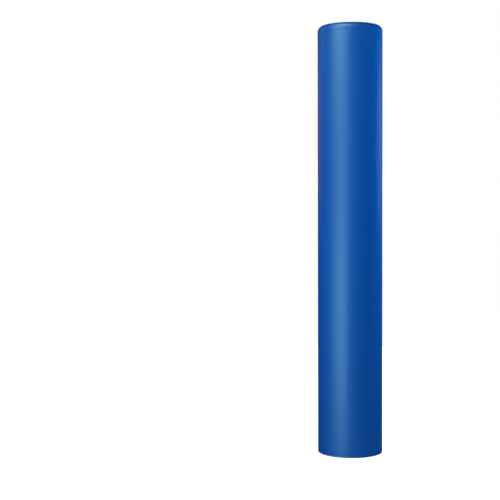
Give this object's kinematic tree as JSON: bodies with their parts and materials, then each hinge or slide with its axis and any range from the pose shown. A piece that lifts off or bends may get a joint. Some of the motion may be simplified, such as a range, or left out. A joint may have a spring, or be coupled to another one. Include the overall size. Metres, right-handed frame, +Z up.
{
  "type": "basketball pole pad",
  "caption": "Tall round padded sleeve for a goal post: vinyl-covered half-round foam cores that open like a book and shut with a full-length hook-and-loop flap.",
  "frame": {"origin": "on the post's axis, in the plane that the pad stands on", "axes": "+Z up along the post, -Y towards the front of the pad and its fold line, +Y towards the slit and flap at its back, +X to the right as seen from the front"},
  "size_m": [0.18, 0.1841, 1.19],
  "materials": {
    "cover_vinyl": "royal-blue coated vinyl, satin gloss with a very fine leather grain",
    "lining_cloth": "dark plain-weave polyester lining, matt",
    "foam": "white closed-cell foam, matt with fine cells",
    "hook_tape": "navy nylon hook tape with a field of small bent hooks",
    "loop_tape": "navy nylon loop tape with a soft brushed pile"
  },
  "bodies": {
    "left_half": {"foam_core_left": "foam", "outer_cover_left": "cover_vinyl", "lining_left": "lining_cloth", "top_cap_left": "cover_vinyl", "bottom_cap_left": "cover_vinyl", "hinge_facing_left": "cover_vinyl", "closing_facing_left": "cover_vinyl", "flap_sewn_strip": "cover_vinyl"},
    "right_half": {"foam_core_right": "foam", "outer_cover_right": "cover_vinyl", "lining_right": "lining_cloth", "top_cap_right": "cover_vinyl", "bottom_cap_right": "cover_vinyl", "hinge_facing_right": "cover_vinyl", "closing_facing_right": "cover_vinyl", "hook_tape": "hook_tape"},
    "flap": {"closing_flap": "cover_vinyl", "loop_tape": "loop_tape"}
  },
  "joints": [
    {"name": "spine_fold", "type": "hinge", "parent": "left_half", "child": "right_half", "pos_m": [0, -0.09, 0], "axis": [0, 0, -1], "range_deg": [0, 110], "deforming": ["closing_flap", "loop_tape"]},
    {"name": "flap_fold", "type": "hinge", "parent": "left_half", "child": "flap", "pos_m": [-0.0081, 0.09094, 0], "axis": [0, 0, 1], "range_deg": [0, 150]}
  ]
}
